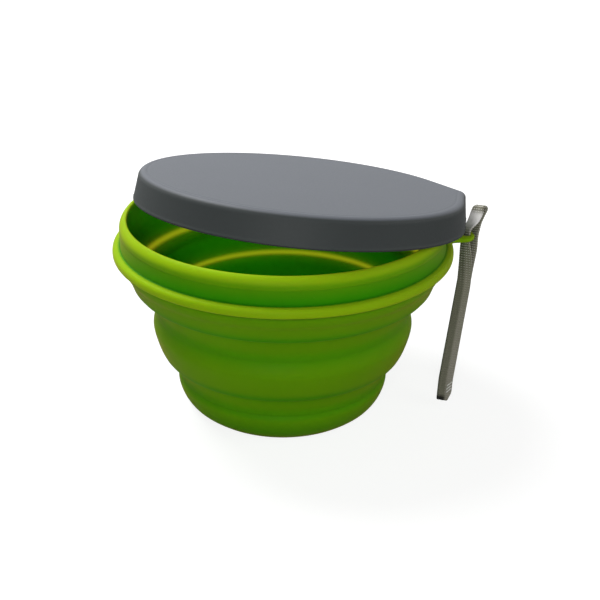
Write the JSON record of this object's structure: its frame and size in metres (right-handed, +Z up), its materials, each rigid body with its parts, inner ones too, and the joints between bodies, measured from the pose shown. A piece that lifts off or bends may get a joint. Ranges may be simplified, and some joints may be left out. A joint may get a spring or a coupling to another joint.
{
  "type": "collapsible bowl",
  "caption": "Collapsible silicone bowl with stepped folding wall, flanged rim with a strap tab, loose drop-shaped lid and a hanging wrist strap loop.",
  "frame": {"origin": "centre of the bowl's flat standing face, on the table", "axes": "+Z up along the bowl's axis, +X from the axis towards the rim's strap tab"},
  "size_m": [0.1694, 0.1602, 0.1136],
  "materials": {
    "silicone": "satin",
    "silicone_web": "satin",
    "lid_plastic": "matt",
    "webbing": "woven",
    "thread": "twisted"
  },
  "bodies": {
    "base": {"base_cup": "silicone", "lower_fold": "silicone_web"},
    "middle": {"middle_ring": "silicone", "upper_fold": "silicone_web"},
    "rim": {"rim_band": "silicone"},
    "lid": {"lid": "lid_plastic"},
    "strap": {"strap_webbing": "webbing", "strap_stitching": "thread"}
  },
  "joints": [
    {"name": "lower_fold_slide", "type": "slide", "parent": "base", "child": "middle", "axis": [0, 0, -1], "range_m": [0, 0.025], "deforming": ["lower_fold"]},
    {"name": "upper_fold_slide", "type": "slide", "parent": "middle", "child": "rim", "axis": [0, 0, -1], "range_m": [0, 0.033], "deforming": ["upper_fold"]},
    {"name": "lid_lift", "type": "slide", "parent": "rim", "child": "lid", "axis": [0, 0, 1], "range_m": [0, 0.08]},
    {"name": "strap_swing", "type": "hinge", "parent": "rim", "child": "strap", "pos_m": [0.0874, 0, 0.0765], "axis": [0, 1, 0], "range_deg": [-4, 8]}
  ]
}
